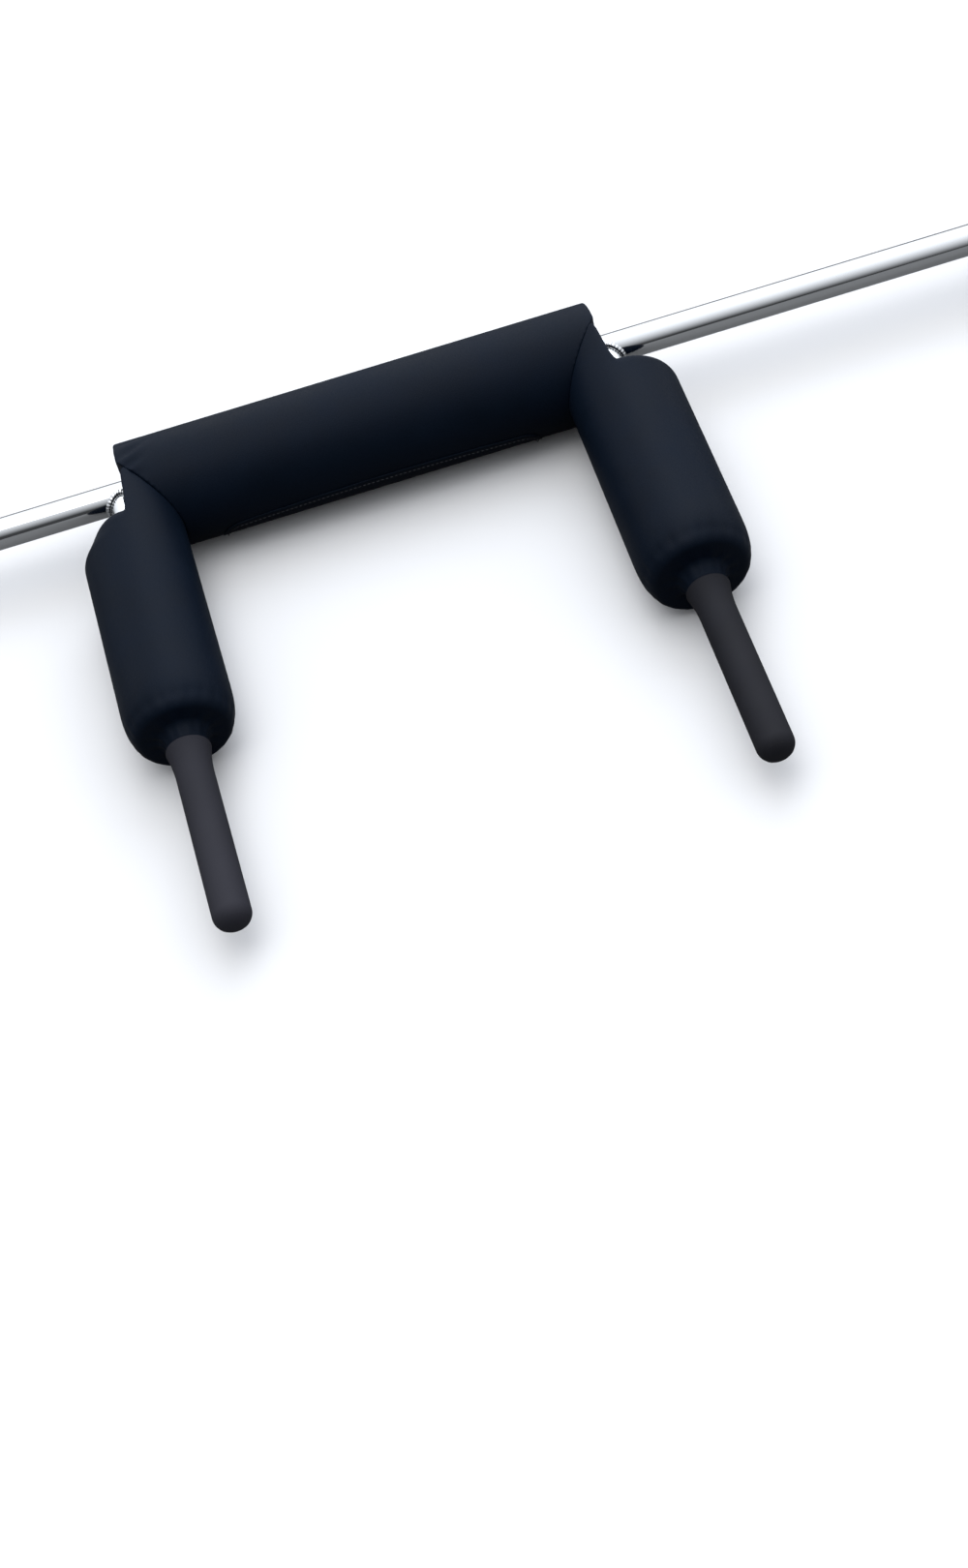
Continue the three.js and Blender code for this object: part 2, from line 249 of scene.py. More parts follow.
# Expanded PVC vinyl on a knitted back, calendered with a fine leather grain: a matt sheet, nearly
# black with a blue tint, and a little paler where it is rubbed; on the flap the paler tone is painted light
# from the floor's bounce.
def makeVinyl():
    material, tree, shader, where = newMaterial("calenderedVinyl")
    grainSize = 1.5  # mm; a real grain is about 0.6 mm, drawn coarser so that it shows
    grain = addNode(
        tree, "ShaderNodeTexVoronoi", {"Vector": where}, {"Scale": 1000 / grainSize},
        feature="DISTANCE_TO_EDGE",
    ).outputs["Distance"]
    cloud = addNode(
        tree, "ShaderNodeTexNoise", {"Vector": where}, {"Scale": 14, "Detail": 4, "Roughness": 0.6},
    ).outputs["Fac"]
    wearAndPaintedLight = addNode(tree, "ShaderNodeAttribute", attribute_name="wearAndPaintedLight").outputs["Fac"]
    colour = addRamp(tree, cloud, [(0.3, "#060d17"), (0.7, "#08111d")])
    tree.links.new(addMix(tree, addRange(tree, wearAndPaintedLight, 0, 0.4), colour, "#0f1621"), shader.inputs["Base Color"])
    tree.links.new(addRange(tree, cloud, 0.44, 0.54, 0.3, 0.7), shader.inputs["Roughness"])
    shader.inputs["Specular IOR Level"].default_value = 0.05
    addBump(tree, shader, addRange(tree, grain, 0, 1, 0, 0.25), 0.35, 0.00012)
    return material


# Bonded polyester sewing thread: dark, a little shiny, with a slanted twist.
def makeThread():
    material, tree, shader, where = newMaterial("polyesterThread")
    twist = addNode(
        tree, "ShaderNodeTexWave", {"Vector": where}, {"Scale": 500},
        wave_type="BANDS", bands_direction="DIAGONAL",
    ).outputs["Fac"]
    tree.links.new(addRamp(tree, twist, [(0, "#10141b"), (1, "#1d222b")]), shader.inputs["Base Color"])
    shader.inputs["Roughness"].default_value = 0.5
    addBump(tree, shader, twist, 0.5, 0.0001)
    return material


# Nitrile rubber handle, dip moulded: fully matt, faintly mottled, greyer where hands wear it, and the left
# grip drawn greyer than the right.
def makeRubber():
    material, tree, shader, where = newMaterial("mouldedRubber")
    mottle = addNode(
        tree, "ShaderNodeTexNoise", {"Vector": where}, {"Scale": 60, "Detail": 6, "Roughness": 0.65},
    ).outputs["Fac"]
    grit = addNode(tree, "ShaderNodeTexNoise", {"Vector": where}, {"Scale": 900, "Detail": 2}).outputs["Fac"]
    wearAndPaintedLight = addNode(tree, "ShaderNodeAttribute", attribute_name="wearAndPaintedLight").outputs["Fac"]
    colour = addRamp(tree, mottle, [(0.3, "#0d0e12"), (0.7, "#121318")])
    tree.links.new(addMix(tree, addRange(tree, wearAndPaintedLight, 0, 0.9), colour, "#2a2a31"), shader.inputs["Base Color"])
    tree.links.new(addRange(tree, mottle, 0.66, 0.8), shader.inputs["Roughness"])
    shader.inputs["Specular IOR Level"].default_value = 0.15
    addBump(tree, shader, grit, 0.3, 0.0001)
    return material


# Bright chrome plate over steel: a clear mirror, broken only by polishing lines.
# linePitch is the spacing of the lines in mm, which run round the bar on turned parts.
def makeChrome(name, roughness, linePitch, lineDepth, colour="#d3d5d6"):
    material, tree, shader, where = newMaterial(name)
    shader.inputs["Metallic"].default_value = 1
    shader.inputs["Base Color"].default_value = linear(colour)
    stretched = addNode(
        tree, "ShaderNodeMapping", {"Vector": where}, {"Scale": (1000 / linePitch, 12, 12)},
    ).outputs["Vector"]
    lines = addNode(
        tree, "ShaderNodeTexNoise", {"Vector": stretched}, {"Scale": 1, "Detail": 3},
    ).outputs["Fac"]
    smear = addNode(tree, "ShaderNodeTexNoise", {"Vector": where}, {"Scale": 25, "Detail": 4}).outputs["Fac"]
    smeared = addRange(tree, smear, roughness * 0.7, roughness * 1.5, 0.35, 0.7)
    tree.links.new(smeared, shader.inputs["Roughness"])
    addBump(tree, shader, lines, 0.15, lineDepth * mm)
    return material


# Cast bearing bronze, bored and turned, wet with oil: warm, with a darker film in patches.
def makeBronze():
    material, tree, shader, where = newMaterial("oiledBronze")
    shader.inputs["Metallic"].default_value = 1
    film = addNode(tree, "ShaderNodeTexNoise", {"Vector": where}, {"Scale": 90, "Detail": 5}).outputs["Fac"]
    tree.links.new(addRamp(tree, film, [(0.35, "#7d5a31"), (0.7, "#b58a52")]), shader.inputs["Base Color"])
    tree.links.new(addRange(tree, film, 0.28, 0.45), shader.inputs["Roughness"])
    return material


# Hardened spring steel, ground flat and phosphated: dark grey with fine scratches.
def makeSteel():
    material, tree, shader, where = newMaterial("groundSteel")
    shader.inputs["Metallic"].default_value = 1
    scratch = addNode(
        tree, "ShaderNodeTexNoise", {"Vector": where}, {"Scale": 600, "Detail": 3},
    ).outputs["Fac"]
    tree.links.new(addRamp(tree, scratch, [(0.3, "#6d6f72"), (0.7, "#8f9295")]), shader.inputs["Base Color"])
    tree.links.new(addRange(tree, scratch, 0.3, 0.5), shader.inputs["Roughness"])
    return material


# Injection moulded polypropylene plug: black, with an even spark eroded texture.
def makePolypropylene():
    material, tree, shader, where = newMaterial("mouldedPolypropylene")
    spark = addNode(
        tree, "ShaderNodeTexNoise", {"Vector": where}, {"Scale": 1400, "Detail": 2},
    ).outputs["Fac"]
    tree.links.new(addRamp(tree, spark, [(0.3, "#151618"), (0.7, "#1e1f21")]), shader.inputs["Base Color"])
    shader.inputs["Roughness"].default_value = 0.55
    addBump(tree, shader, spark, 0.4, 0.00008)
    return material


vinyl = makeVinyl()
thread = makeThread()
rubber = makeRubber()
barChrome = makeChrome("polishedChrome", 0.07, 3, 0.01)
weldChrome = makeChrome("chromedWeldMetal", 0.16, 1, 0.03, "#c4c6c8")
sleeveChrome = makeChrome("turnedChrome", 0.13, 0.8, 0.02)
bronze = makeBronze()
steel = makeSteel()
polypropylene = makePolypropylene()
print("materials ready")


# Making pieces

def spun(outline, steps, closed=True):  # outline: (distance along X, radius) in mm
    bm = bmesh.new()
    verts = [bm.verts.new((distance * mm, 0, radius * mm)) for distance, radius in outline]
    pairs = list(zip(verts, verts[1:]))
    if closed:
        pairs.append((verts[-1], verts[0]))
    edges = [bm.edges.new(pair) for pair in pairs]
    bmesh.ops.spin(
        bm, geom=verts + edges, cent=(0, 0, 0), axis=(1, 0, 0), angle=2 * math.pi, steps=steps,
        use_merge=True,
    )
    bmesh.ops.remove_doubles(bm, verts=bm.verts, dist=1e-6)
    bmesh.ops.recalc_face_normals(bm, faces=bm.faces)
    return bm


def evened(outline, step):
    points = [outline[0]]
    for start, end in zip(outline, outline[1:]):
        count = max(1, math.ceil(math.dist(start, end) / step))
        for i in range(1, count + 1):
            share = i / count
            points.append(tuple(a + (b - a) * share for a, b in zip(start, end)))
    return points


def bevelSharp(bm, width, segments=3, degrees=40):  # width in mm
    sharp = [e for e in bm.edges if e.is_manifold and e.calc_face_angle() > math.radians(degrees)]
    bmesh.ops.bevel(
        bm, geom=sharp, offset=width * mm, segments=segments, affect="EDGES", profile=0.5, material=-1,
        clamp_overlap=True,
    )


def finishPiece(bm, name, place, material, nodes=(), body="bar_frame", sharpDegrees=35):
    bm.transform(place)
    for vert in bm.verts:  # what rests on the floor is pressed flat by it
        vert.co.z = max(vert.co.z, floorGap)
    mesh = bpy.data.meshes.new(name)
    bm.to_mesh(mesh)
    bm.free()
    mesh.shade_smooth()
    mesh.set_sharp_from_angle(angle=math.radians(sharpDegrees))
    mesh.materials.append(material)
    piece = bpy.data.objects.new(name, mesh)
    scene.collection.objects.link(piece)
    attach(piece, body)
    if nodes:
        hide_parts(*nodes)
    return piece


def arc(distance, radius, rim, fromDegrees, toDegrees, steps=5):  # 0 points outwards, 90 along +X
    angles = [math.radians(fromDegrees + (toDegrees - fromDegrees) * i / steps) for i in range(steps + 1)]
    return [(distance + rim * math.sin(a), radius + rim * math.cos(a)) for a in angles]


def fade(distance, reach):  # 1 at no distance, falling smoothly to 0 at reach
    share = min(max(distance / reach, 0), 1)
    return 1 - share * share * (3 - 2 * share)


def around(co):  # degrees from the top of a pad, growing towards the local -Y side
    return math.degrees(math.atan2(-co.y, co.z))


def turnBy(a, b):  # the smaller angle between two directions, in degrees
    return (a - b + 180) % 360 - 180


# Pads: a vinyl cover drawn over foam. The cover is a little too large for the foam, so it is
# filled by a cloth simulation that puckers it at the seams, and then shaped further by given folds and
# creases.

def plump(bm, name, settings, held):
    mesh = bpy.data.meshes.new(name + "Cloth")
    bm.to_mesh(mesh)
    cloth = bpy.data.objects.new(name + "Cloth", mesh)
    scene.collection.objects.link(cloth)
    cloth.shape_key_add(name="sewn")
    cut = cloth.shape_key_add(name="cut")
    longer, wider = settings["longer"], settings["wider"]
    for point in cut.data:
        x, y, z = point.co
        point.co = (x * longer, y * wider, z * wider)
    starts = [v.co.copy() for v in bm.verts]
    holds = [held(co / mm) for co in starts]
    group = cloth.vertex_groups.new(name="held")
    for i, hold in enumerate(holds):
        group.add([i], hold, "REPLACE")
    modifier = cloth.modifiers.new("cover", "CLOTH")
    modifier.settings.rest_shape_key = cut
    modifier.settings.vertex_group_mass = "held"
    modifier.settings.quality = 5
    modifier.settings.use_pressure = True
    modifier.settings.uniform_pressure_force = settings["pressure"]
    modifier.settings.tension_stiffness = settings["stiffness"]
    modifier.settings.compression_stiffness = settings["stiffness"]
    modifier.settings.bending_stiffness = settings["bending"]
    modifier.settings.effector_weights.gravity = 0
    modifier.collision_settings.use_collision = False
    for step in range(1, settings["frames"] + 1):
        scene.frame_set(step)
    filled = cloth.evaluated_get(bpy.context.evaluated_depsgraph_get()).to_mesh()
    furthest = 0
    for vert, start, hold, point in zip(bm.verts, starts, holds, filled.vertices):
        move = (point.co - start) * (1 - hold)
        furthest = max(furthest, move.length / mm)
        if move.length > settings["most"] * mm:
            move *= settings["most"] * mm / move.length
        vert.co = start + move
    bpy.data.objects.remove(cloth)
    scene.frame_set(1)
    print(name, "filled, furthest", round(furthest, 1), "mm")


def cutMitre(bm, place, towards):
    geometry = bm.verts[:] + bm.edges[:] + bm.faces[:]
    cut = bmesh.ops.bisect_plane(
        bm, geom=geometry, dist=1e-6, plane_co=place * mm, plane_no=towards, clear_outer=True,
    )["geom_cut"]
    rim = [v for v in cut if isinstance(v, bmesh.types.BMVert)]
    bmesh.ops.remove_doubles(bm, verts=rim, dist=0.6 * mm)
    edges = [e for e in bm.edges if e.is_boundary]
    bmesh.ops.triangle_fill(bm, edges=edges, use_beauty=True)
    bmesh.ops.recalc_face_normals(bm, faces=bm.faces)


def creaseSharp(bm, degrees=48, amount=0.8):  # keeps the subdivision from rounding these edges off
    layer = bm.edges.layers.float.get("crease_edge") or bm.edges.layers.float.new("crease_edge")
    for edge in bm.edges:
        if edge.is_manifold and edge.calc_face_angle() > math.radians(degrees):
            edge[layer] = amount


def setWearAndPaintedLight(bm, amount):  # how much paler a place is drawn, from 0 to 1, read by the materials: wear, and on the flap painted light
    layer = bm.verts.layers.float.new("wearAndPaintedLight")
    for vert in bm.verts:
        vert[layer] = amount(vert.co / mm)


mitreSettings = {
    "rollEnd": 219,  # where the roll's end and the shoulder pad's end touch, along the bar
    "seamStart": 5,  # and in front of the bar's axis
    "gap": 0.05,
}
padRadius = 47.45
mitreInner = armX - mitreSettings["rollEnd"]
rollRadius = (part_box("neck_cover")[1].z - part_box("neck_cover")[0].z) / 2 / mm


def mitre(side):  # a point of the plane and its direction towards the roll, in the bar's frame, in mm
    outer = Vector((mitreSettings["rollEnd"], -mitreSettings["seamStart"], 0))
    inner = Vector((armX - padRadius, rollCentre.y / mm - rollRadius, 0))
    along = (inner - outer).normalized()
    return Vector((side * outer.x, outer.y, 0)), Vector((side * along.y, -along.x, 0))


shoulderSettings = {
    "bore": 13.2,
    "start": 57,
    "startRim": 12,
    "reach": 34,  # how much of the pad is stretched back to the mitre
    "slack": {"left": 0.2, "right": -2.0},  # how far the cover stays inside its CAD outline
    "straightTo": 250,
    "barClear": 15.2,
    "weldClear": 19,
    "weldEnd": 20.5,
    "end": 286,
    "cuffEnd": 299.6,
    "around": 112,
    "step": 3.2,
    "longer": 1.012,
    "wider": 1.022,
    "pressure": 4,
    "stiffness": 12,
    "bending": 0.4,
    "frames": 20,
    "most": 2.2,
}


def shoulderOutline(settings, sideName):
    bore, start, rim = settings["bore"], settings["start"], settings["startRim"]
    radius, end = padRadius - settings["slack"][sideName], settings["end"]
    side = evened([(start + rim, radius), (settings["straightTo"], radius)], settings["step"])
    drawnIn = [  # distance along the arm, and how far the cover is pulled in there
        (258, 0.2), (265, 0.9), (270, 1.8), (275, 3.1), (279, 4.6), (282, 6.2), (284, 8.0), (285.2, 9.8),
    ]
    face = evened([(285.6, radius - 11.5), (end + 0.6, 23.5)], settings["step"])
    cuffEnd = settings["cuffEnd"]
    cuff = [(end + 1.4, 22), (289, 20.2), (291.5, 18.8), (294.5, 17.8), (cuffEnd - 1, 17), (cuffEnd, 16)]
    inside = evened([(cuffEnd, bore), (start, bore)], 3 * settings["step"])
    startFace = evened([(start, bore), (start, radius - rim)], settings["step"])[1:]
    return (
        startFace + arc(start + rim, radius - rim, rim, -90, 0)[1:-1] + side
        + [(d, radius - less) for d, less in drawnIn] + face + cuff + inside
    )


# Beside the roll the pad runs back to the mitre, outside the roll's end it stops short.
def reachBack(co, side, planePlace, planeTowards, settings, full):
    reach, start, outward = settings["reach"], settings["start"], side * co.y
    if co.x > start + reach or co.x < start - 0.1:
        return co
    inner = 1 - fade(-outward - mitreInner + 3.2, 2.4)
    if inner <= 0:
        return co
    radius = math.hypot(co.y, co.z)
    if co.x < start + settings["startRim"] and radius > padRadius - 14 - settings["startRim"]:
        rimShare = min(max((start + settings["startRim"] - co.x) / settings["startRim"], 0), 1)
        grown = radius + settings["startRim"] * (1 - math.sqrt(1 - rimShare ** 2)) * inner
        radius = min(grown, full)
        turn = math.atan2(co.y, co.z)
        co = Vector((co.x, radius * math.sin(turn), radius * math.cos(turn)))
    flat = Vector((0, co.y, co.z))
    back = (planePlace - flat).dot(planeTowards) / planeTowards.x + mitreSettings["gap"]
    back = max(back, math.sqrt(max(settings["barClear"] ** 2 - co.z ** 2, 0)))
    if radius < settings["weldClear"]:
        back = max(back, settings["weldEnd"])
    back = min(back, start)
    share = (start + reach - co.x) / reach
    return Vector((co.x - (start - back) * share * inner, co.y, co.z))


def makeShoulderPad(sideName, side, settings):
    bm = spun(shoulderOutline(settings, sideName), settings["around"])
    full = padRadius - settings["slack"][sideName]
    place, towards = mitre(side)
    turn = Matrix.Rotation(-math.pi / 2 - side * toeIn, 4, "Z")
    toArm = (Matrix.Translation((side * armX, 0, 0)) @ turn).inverted()
    planePlace, planeTowards = toArm @ place, toArm.to_3x3() @ towards
    for vert in bm.verts:
        vert.co = reachBack(vert.co / mm, side, planePlace, planeTowards, settings, full) * mm

    def held(co):
        radius = math.hypot(co.y, co.z)
        bore = fade(radius - settings["bore"] - 4, 12)
        far = 1 - fade(co.x - settings["end"] + 8, 8)
        rim = fade(abs(co.x - settings["end"]) + abs(radius - padRadius + 8), 10)
        seam = fade(min((planePlace - co).dot(planeTowards), settings["start"] + 8 - co.x) - 1, 14)
        return max(bore, far, rim, seam if co.x > settings["start"] - 60 else 1)

    plump(bm, sideName + "Shoulder", settings, held)
    for vert in bm.verts:
        vert.co = dressShoulder(vert.co / mm, side, full) * mm
    creaseSharp(bm)
    setWearAndPaintedLight(bm, lambda co: fade(abs(co.x - 272), 14) * 0.8 * noise.noise(co * 0.05) + 0.15)
    piece = finishPiece(
        bm, sideName + "_shoulder_pad", armPlace(side), vinyl,
        [sideName + "_shoulder_cover", sideName + "_shoulder_foam"], sharpDegrees=180,
    )
    addSubdivision(piece)


gatherSettings = {
    "boreRadius": 14.5,
    "faceRadius": 36,
    "folds": 13,
    "depth": 0.45,
    "ringRadius": 23,
    "seamAt": 275,
    "seamIn": 3.1,
    "seamDepth": 0.7,
    "seamWidth": 3.6,
    "puckers": 46,
    "rippleAt": 276,
    "rippleDepth": 0.35,
    "ripples": 23,
    "cornerEnd": 82,
    "cornerLength": 24,
    "cornerDepth": 22,
}


def dressShoulder(co, side, full):
    radius = math.hypot(co.y, co.z)
    settings, end = gatherSettings, shoulderSettings["end"]
    if radius < settings["boreRadius"] or co.x > shoulderSettings["cuffEnd"] - 0.5:
        return co
    angle = around(co)
    out = Vector((0, co.y, co.z)) / radius
    move = Vector()
    if co.x > end - 2 or radius < settings["faceRadius"] and co.x > end - 12:  # gathered into the cuff
        drift = 1.3 * noise.noise(Vector((angle / 40, side, 0)))
        folds = math.sin(math.radians(angle * settings["folds"]) + drift)
        share = fade(abs(radius - settings["ringRadius"]), 14)
        move += Vector((folds * settings["depth"] * share, 0, 0))
        move += out * folds * 0.25 * share * fade(abs(co.x - end - 6), 8)
    fromSeam = math.hypot(co.x - settings["seamAt"], radius - full + settings["seamIn"])
    seam = fade(fromSeam, settings["seamWidth"])
    puckers = 0.75 + 0.25 * math.sin(math.radians(angle * settings["puckers"]))
    move -= (out + Vector((1, 0, 0))) * settings["seamDepth"] * seam * puckers
    ripple = math.sin(math.radians(angle * settings["ripples"]) + 2 * noise.noise(co * 0.02))
    move += out * settings["rippleDepth"] * ripple * fade(abs(co.x - settings["rippleAt"]), 12)
    if side < 0:  # the left cover is pulled flat at its outer corner, beside the bar
        outer = max(-out.y, 0)
        corner = min(max((settings["cornerEnd"] - co.x) / settings["cornerLength"], 0), 1)
        move -= out * settings["cornerDepth"] * corner * outer ** 2
    return co + move


def addSubdivision(piece):  # rounds the cloth between its vertices
    modifier = piece.modifiers.new("fineSurface", "SUBSURF")
    modifier.levels = 1
    modifier.render_levels = 1


rollSettings = {
    "half": 220.5,
    "rim": 1.8,
    "bore": 15,
    "slack": -1.0,
    "around": 120,
    "step": 3.4,
    "armClear": 18.6,
    "longer": 1.01,
    "wider": 1.02,
    "pressure": 4,
    "stiffness": 12,
    "bending": 0.4,
    "frames": 20,
    "most": 2.0,
}


def rollOutline(settings):
    half, rim, bore = settings["half"], settings["rim"], settings["bore"]
    radius, step = rollRadius - settings["slack"], settings["step"]
    leftFace = evened([(-half, bore), (-half, radius - rim)], step)[:-1]
    rightFace = evened([(half, radius - rim), (half, bore)], step)[1:]
    length = evened([(rim - half, radius), (half - rim, radius)], step)
    inside = evened([(half, bore), (-half, bore)], 6 * step)[1:-1]
    return (
        leftFace + arc(rim - half, radius - rim, rim, -90, 0, 3)[:-1] + length
        + arc(half - rim, radius - rim, rim, 0, 90, 3)[1:] + rightFace + inside
    )


def makeNeckRoll(settings):
    bm = spun(rollOutline(settings), settings["around"])
    centre = rollCentre / mm
    bar = Vector((0, -centre.y, -centre.z))  # the bar runs above and behind the roll's own axis
    for vert in bm.verts:
        co = vert.co / mm
        share = (math.hypot(co.y, co.z) - settings["bore"]) / (rollRadius - 6 - settings["bore"])
        vert.co = (co + bar * (1 - min(max(share, 0), 1))) * mm
    planes = []
    for side in sides.values():
        place, towards = mitre(side)
        cutMitre(bm, place - centre + towards * mitreSettings["gap"], -towards)
        planes.append((place - centre, towards))

    def held(co):
        fromBar = math.hypot(co.y - bar.y, co.z - bar.z)
        mitres = min((co - place).dot(towards) for place, towards in planes)
        rim = fade(settings["half"] - abs(co.x), 7)
        return max(fade(fromBar - settings["bore"] - 3, 8), fade(mitres - 1, 14), rim)

    plump(bm, "neckRoll", settings, held)
    for vert in bm.verts:
        vert.co = dressRoll(vert.co / mm, centre) * mm
    skin = BVHTree.FromBMesh(bm)
    creaseSharp(bm)
    setWearAndPaintedLight(bm, lambda co: fade(settings["half"] - abs(co.x), 16) * (0.5 + 0.5 * noise.noise(co * 0.05)) + 0.1)
    piece = finishPiece(
        bm, "neck_roll", rollPlace, vinyl, ["neck_cover", "neck_foam"], sharpDegrees=180,
    )
    addSubdivision(piece)
    return skin


# Creases at the roll's left end: place along the bar and round the roll, length, width, slant, depth.
creases = [
    {"x": -207, "angle": -10, "length": 15, "width": 4.0, "slant": 32, "depth": 2.6},
    {"x": -209, "angle": 8, "length": 12, "width": 3.5, "slant": 24, "depth": 2.2},
    {"x": -210, "angle": 24, "length": 9, "width": 4.0, "slant": 10, "depth": 1.6},
    {"x": -205, "angle": -30, "length": 16, "width": 4.5, "slant": 18, "depth": 1.4},
]


def dressRoll(co, centre):
    radius = math.hypot(co.y, co.z)
    out = Vector((0, co.y, co.z)) / max(radius, 1)
    angle = around(co)
    move = Vector()
    if radius > 30:
        for crease in creases:
            alongX = co.x - crease["x"]
            across = math.radians(turnBy(angle, crease["angle"])) * rollRadius
            slant = math.radians(crease["slant"])
            alongFold = alongX * math.cos(slant) - across * math.sin(slant)
            acrossFold = alongX * math.sin(slant) + across * math.cos(slant)
            share = math.exp(-(alongFold / crease["length"]) ** 2 - (acrossFold / crease["width"]) ** 2)
            move -= out * crease["depth"] * share
            beside = acrossFold / crease["width"] - 1.6
            ridge = math.exp(-(alongFold / crease["length"]) ** 2 - beside ** 2)
            move += out * 0.35 * crease["depth"] * ridge
        seam = fade(abs(rollSettings["half"] - abs(co.x)) + abs(radius - rollRadius + 2), 5)
        drift = 2 * noise.noise(Vector((angle / 30, co.x, 0)))
        puckers = 0.6 + 0.4 * math.sin(math.radians(angle * 34) + drift)
        move -= out * 0.5 * seam * puckers
    moved = co + move + centre  # in the bar's frame, to keep clear of the arms
    for side in sides.values():
        fromArm = Vector((moved.x - side * armX, 0, moved.z))
        if moved.y < 4 and 0 < fromArm.length < rollSettings["armClear"]:
            moved += fromArm * (rollSettings["armClear"] / fromArm.length - 1)
    return moved - centre


# The flap over the roll's lengthwise slit: a double layer of the same vinyl, wrapped on the roll.

flapSettings = {
    "half": 150,
    "low": -28,
    "high": 23,
    "bow": 5,
    "corner": 20,
    "middleAngle": 130,
    "thick": 1.3,
    "lift": 0.25,
    "rows": 20,
    "columns": 120,
    "stitchInset": 4,
    "stitchPitch": 4.2,
    "stitchLength": 3.0,
    "threadRadius": 0.4,
}


def flapTop(x, inset=0):
    half, corner = flapSettings["half"] - inset, flapSettings["corner"] - inset
    straight = half - corner
    bowed = flapSettings["high"] - inset + flapSettings["bow"] * (1 - min(abs(x) / straight, 1) ** 2)
    past = max(abs(x) - straight, 0)
    return bowed - corner + math.sqrt(max(corner ** 2 - past ** 2, 0))


def onRoll(x, across, lift):  # across runs up round the roll from the flap's middle line
    angle = math.radians(flapSettings["middleAngle"]) - across / rollRadius
    out = Vector((0, -math.sin(angle), math.cos(angle)))
    axis = Vector((x, 0, 0))
    skin = rollSkin.ray_cast((axis + out * 2 * rollRadius) * mm, -out)[0] / mm
    return skin + out * lift


def makeFlap(settings):
    bm = bmesh.new()
    bmesh.ops.create_grid(bm, x_segments=settings["columns"], y_segments=settings["rows"], size=1)
    for vert in bm.verts:
        x = vert.co.x * settings["half"]
        share = (vert.co.y + 1) / 2
        across = settings["low"] + (flapTop(x) - settings["low"]) * share
        hem = 0.5 * fade(min(flapTop(x) - across, settings["half"] - abs(x)) - 5, 2)
        wave = 0.5 * noise.noise(Vector((x / 25, across / 30, 3)))
        free = max(share - 0.5, 0) * 2
        vert.co = onRoll(x, across, settings["lift"] + hem + free * (0.4 + wave)) * mm
    bmesh.ops.recalc_face_normals(bm, faces=bm.faces)
    fromAxis = Vector((0, 1, 1))
    outward = sum(face.normal.dot(face.calc_center_median() * fromAxis) for face in bm.faces)
    if outward < 0:
        bmesh.ops.reverse_faces(bm, faces=bm.faces)
    bmesh.ops.solidify(bm, geom=bm.faces[:], thickness=settings["thick"] * mm)
    bevelSharp(bm, 0.5, 2, 60)
    # the whole flap is drawn paler: painted light standing in for the floor's bounce on this low,
    # forward-facing strip
    setWearAndPaintedLight(bm, lambda co: 0.55)
    piece = finishPiece(bm, "neck_roll_flap", rollPlace, vinyl, ["neck_flap"], sharpDegrees=60)


def addStitches(bm, path, settings, outwards):
    lengths = [0]
    for a, b in zip(path, path[1:]):
        lengths.append(lengths[-1] + (b - a).length)
    count = int(lengths[-1] / settings["stitchPitch"])
    segment = 0
    for i in range(count):
        middle = (i + 0.5) * lengths[-1] / count
        while lengths[segment + 1] < middle:
            segment += 1
        start, end = path[segment], path[segment + 1]
        place = start.lerp(end, (middle - lengths[segment]) / (lengths[segment + 1] - lengths[segment]))
        along = (end - start).normalized()
        up = outwards(place)
        across = up.cross(along).normalized()
        turn = Matrix((along, across, up)).transposed().to_4x4()
        thin = settings["threadRadius"]
        size = Matrix.Diagonal((settings["stitchLength"] / 2, thin, thin, 1))
        lying = size @ Matrix.Rotation(math.pi / 2, 4, "Y")
        matrix = Matrix.Scale(mm, 4) @ Matrix.Translation(place) @ turn @ lying
        bmesh.ops.create_uvsphere(bm, u_segments=6, v_segments=6, radius=1, matrix=matrix)


def makeFlapStitches(settings):
    inset = settings["stitchInset"]
    edge = settings["half"] - inset
    lift = settings["lift"] + settings["thick"] + 0.5
    xs = [edge * math.sin(math.pi * (i / 240 - 0.5)) for i in range(241)]
    heights = [settings["low"] + 4 * i for i in range(7)]  # up one short side, down the other
    path = [onRoll(-edge, height, lift) for height in heights]
    path += [onRoll(x, flapTop(x, inset), lift) for x in xs]
    path += [onRoll(edge, height, lift) for height in reversed(heights)]
    bm = bmesh.new()
    addStitches(bm, path, settings, lambda place: Vector((0, place.y, place.z)).normalized())
    finishPiece(bm, "neck_roll_flap_stitches", rollPlace, thread, sharpDegrees=180)


rollSkin = makeNeckRoll(rollSettings)
makeFlap(flapSettings)
makeFlapStitches(flapSettings)
for sideName, side in sides.items():
    makeShoulderPad(sideName, side, shoulderSettings)
print("pads ready")


# Handles: rubber grips with a flared mouth and a domed end.

gripSettings = {
    "bore": 12.6,
    "radius": 15.9,
    "start": 300,
    "end": 481.6,
    "tipWall": 4.2,
    "flare": 3.2,
    "flareLength": 30,
    "lip": 1.6,
    "dome": 13,
    "sidePaleness": {"left": 0.9, "right": 0.25},
    "around": 96,
}


